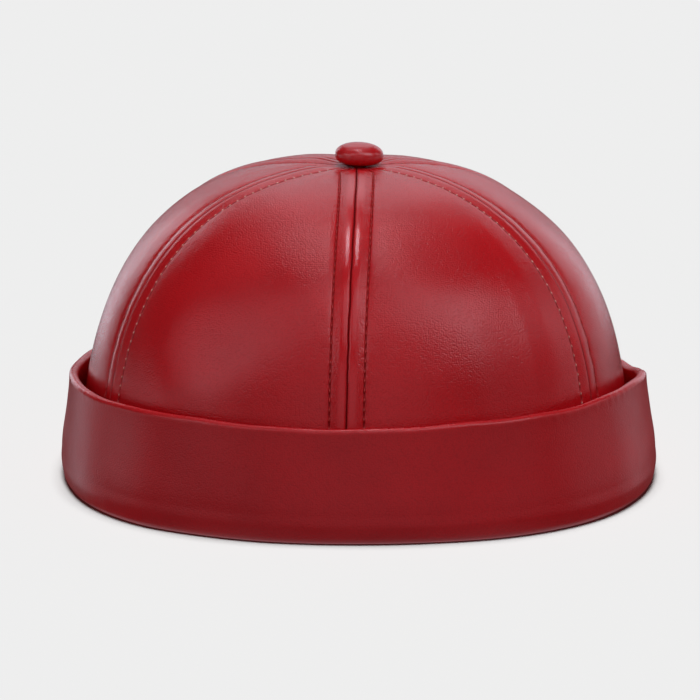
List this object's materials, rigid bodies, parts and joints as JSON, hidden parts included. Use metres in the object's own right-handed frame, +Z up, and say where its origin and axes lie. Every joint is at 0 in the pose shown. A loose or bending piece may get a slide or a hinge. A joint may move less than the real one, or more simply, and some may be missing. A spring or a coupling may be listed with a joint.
{
  "type": "chinese skullcap",
  "caption": "Brimless skullcap of sewn leather gores with a turned-up cuff and a covered top button, open below for the head.",
  "frame": {"origin": "centre of the cap's bounding box, on the surface that the cuff's fold stands on", "axes": "+Z up through the top button, -Y out of the front seam, +X to the right of someone who faces the front"},
  "size_m": [0.1976, 0.2114, 0.1086],
  "materials": {
    "crown_leather": "satin red faux leather, fine pebble grain",
    "cuff_leather": "satin red faux leather, fine pebble grain",
    "button_leather": "satin red faux leather stretched over a domed button"
  },
  "bodies": {
    "root": {"crown_panel_front_left": "crown_leather", "crown_panel_front_right": "crown_leather", "crown_panel_right": "crown_leather", "crown_panel_back_right": "crown_leather", "crown_panel_back_left": "crown_leather", "crown_panel_left": "crown_leather", "cuff": "cuff_leather", "button": "button_leather"}
  },
  "joints": []
}
